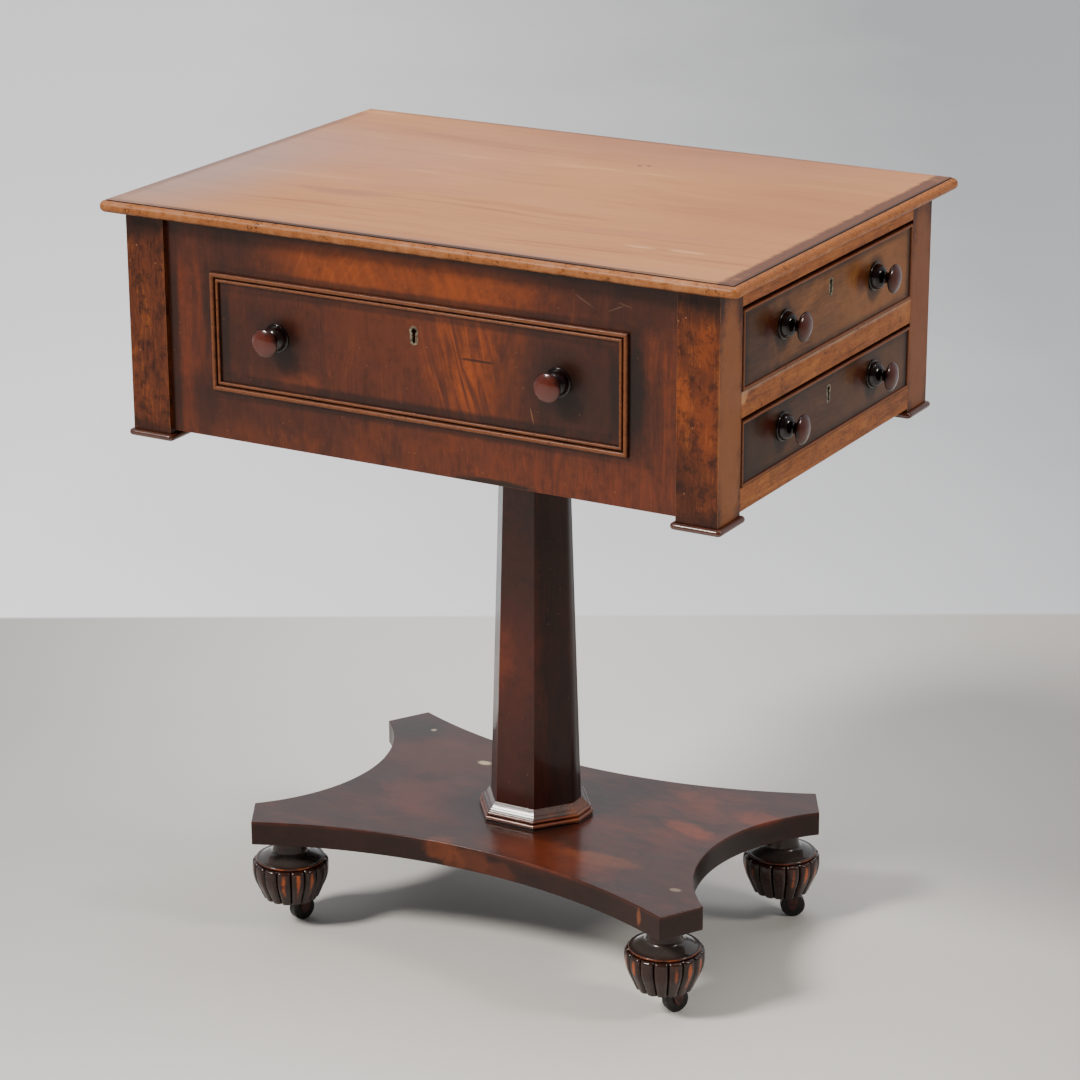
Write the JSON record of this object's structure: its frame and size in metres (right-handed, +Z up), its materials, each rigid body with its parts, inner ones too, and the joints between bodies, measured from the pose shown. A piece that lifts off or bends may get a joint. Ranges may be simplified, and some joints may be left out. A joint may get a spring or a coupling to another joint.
{
  "type": "work table",
  "caption": "Pedestal work table with drawers in one end, sham drawer fronts, an octagonal pillar, a hollow-sided plinth, reeded bun feet and castors.",
  "frame": {"origin": "on the floor, under the middle of the pillar and of the top", "axes": "+X along the table, towards the end with the drawers; +Y across it, away from the sham front that the picture shows; +Z up"},
  "size_m": [0.658, 0.477, 0.74],
  "materials": {
    "faded_top": "sun-faded mahogany, worn satin wax polish",
    "mahogany": "red-brown mahogany, old satin polish",
    "mahogany_trim": "red-brown mahogany mouldings, edges worn pale",
    "dark_mahogany": "dark polished mahogany, arrises worn red-brown",
    "ebonised_wood": "turned wood stained nearly black, glossy polish",
    "pine": "plain unpolished drawer linings and runners",
    "old_brass": "dull tarnished brass",
    "iron": "dark iron, brown with age",
    "castor_wheel": "nearly black castor wheels"
  },
  "bodies": {
    "case": {"top_board": "faded_top", "corner_posts": "mahogany", "post_pads": "mahogany", "front_panel": "mahogany", "rear_panel": "mahogany", "front_moulding": "mahogany_trim", "rear_moulding": "mahogany_trim", "top_rail": "mahogany", "middle_rail": "mahogany", "bottom_rail": "mahogany", "far_end_panel": "mahogany", "sham_fronts": "mahogany", "sham_cockbeads": "mahogany_trim", "case_knobs": "ebonised_wood", "case_escutcheons": "old_brass", "upper_runners": "pine", "lower_runners": "pine", "drawer_guides": "pine", "kickers": "pine", "drawer_stops": "pine", "bearer": "pine", "pillar": "dark_mahogany", "pillar_moulding": "dark_mahogany", "plinth": "dark_mahogany", "bun_feet": "ebonised_wood", "castor_plates": "old_brass"},
    "upper_drawer": {"upper_front": "mahogany", "upper_cockbeads": "mahogany_trim", "upper_sides": "pine", "upper_back": "pine", "upper_bottom": "pine", "upper_knobs": "ebonised_wood", "upper_escutcheon": "old_brass", "upper_lock": "old_brass"},
    "upper_bolt": {"upper_bolt": "iron"},
    "lower_drawer": {"lower_front": "mahogany", "lower_cockbeads": "mahogany_trim", "lower_sides": "pine", "lower_back": "pine", "lower_bottom": "pine", "lower_knobs": "ebonised_wood", "lower_escutcheon": "old_brass", "lower_lock": "old_brass"},
    "lower_bolt": {"lower_bolt": "iron"},
    "horn_fl": {"horn_fl": "iron"},
    "wheel_fl": {"wheel_fl": "castor_wheel"},
    "horn_fr": {"horn_fr": "iron"},
    "wheel_fr": {"wheel_fr": "castor_wheel"},
    "horn_rr": {"horn_rr": "iron"},
    "wheel_rr": {"wheel_rr": "castor_wheel"},
    "horn_rl": {"horn_rl": "iron"},
    "wheel_rl": {"wheel_rl": "castor_wheel"}
  },
  "joints": [
    {"name": "upper_drawer_slide", "type": "slide", "parent": "case", "child": "upper_drawer", "axis": [1, 0, 0], "range_m": [0, 0.42]},
    {"name": "upper_bolt_slide", "type": "slide", "parent": "upper_drawer", "child": "upper_bolt", "axis": [0, 0, 1], "range_m": [0, 0.006]},
    {"name": "lower_drawer_slide", "type": "slide", "parent": "case", "child": "lower_drawer", "axis": [1, 0, 0], "range_m": [0, 0.42]},
    {"name": "lower_bolt_slide", "type": "slide", "parent": "lower_drawer", "child": "lower_bolt", "axis": [0, 0, 1], "range_m": [0, 0.006]},
    {"name": "swivel_fl", "type": "hinge", "parent": "case", "child": "horn_fl", "pos_m": [-0.208, -0.124, 0.026], "axis": [0, 0, 1], "continuous": true},
    {"name": "spin_fl", "type": "hinge", "parent": "horn_fl", "child": "wheel_fl", "pos_m": [-0.20331, -0.11295, 0.012], "axis": [-0.9205, 0.3907, 0], "continuous": true},
    {"name": "swivel_fr", "type": "hinge", "parent": "case", "child": "horn_fr", "pos_m": [0.208, -0.124, 0.026], "axis": [0, 0, 1], "continuous": true},
    {"name": "spin_fr", "type": "hinge", "parent": "horn_fr", "child": "wheel_fr", "pos_m": [0.21418, -0.11371, 0.012], "axis": [-0.8572, 0.515, 0], "continuous": true},
    {"name": "swivel_rr", "type": "hinge", "parent": "case", "child": "horn_rr", "pos_m": [0.208, 0.124, 0.026], "axis": [0, 0, 1], "continuous": true},
    {"name": "spin_rr", "type": "hinge", "parent": "horn_rr", "child": "wheel_rr", "pos_m": [0.21818, 0.13036, 0.012], "axis": [-0.5299, 0.848, 0], "continuous": true},
    {"name": "swivel_rl", "type": "hinge", "parent": "case", "child": "horn_rl", "pos_m": [-0.208, 0.124, 0.026], "axis": [0, 0, 1], "continuous": true},
    {"name": "spin_rl", "type": "hinge", "parent": "horn_rl", "child": "wheel_rl", "pos_m": [-0.19997, 0.13292, 0.012], "axis": [-0.7431, 0.6691, 0], "continuous": true}
  ]
}
